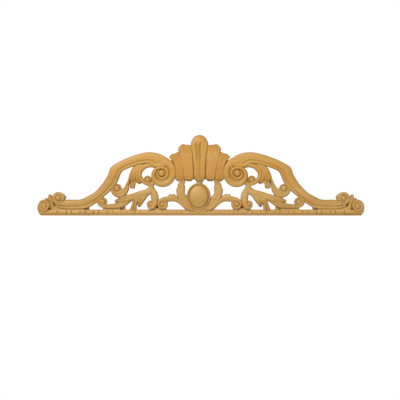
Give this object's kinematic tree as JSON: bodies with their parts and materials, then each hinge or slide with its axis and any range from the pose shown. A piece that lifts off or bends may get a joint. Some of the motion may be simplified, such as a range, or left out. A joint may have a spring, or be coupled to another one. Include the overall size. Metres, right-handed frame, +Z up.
{
  "type": "carved wooden pediment applique",
  "caption": "Flat-backed carved wood pediment ornament with a shell crest, oval boss, S-scroll arms and acanthus sprays pierced above a beaded rail, glued to furniture or a door head.",
  "frame": {"origin": "middle of the flat back, behind the shell, half way up the ornament", "axes": "+X along the rail, to the right as seen from the front; +Y out of the flat back, into the furniture; +Z up"},
  "size_m": [0.5996, 0.021, 0.1478],
  "materials": {
    "wood": "bare honey-coloured carved hardwood with fine grain, sanded and sealed to a low satin"
  },
  "bodies": {
    "root": {"carved_pediment": "wood"}
  },
  "joints": []
}
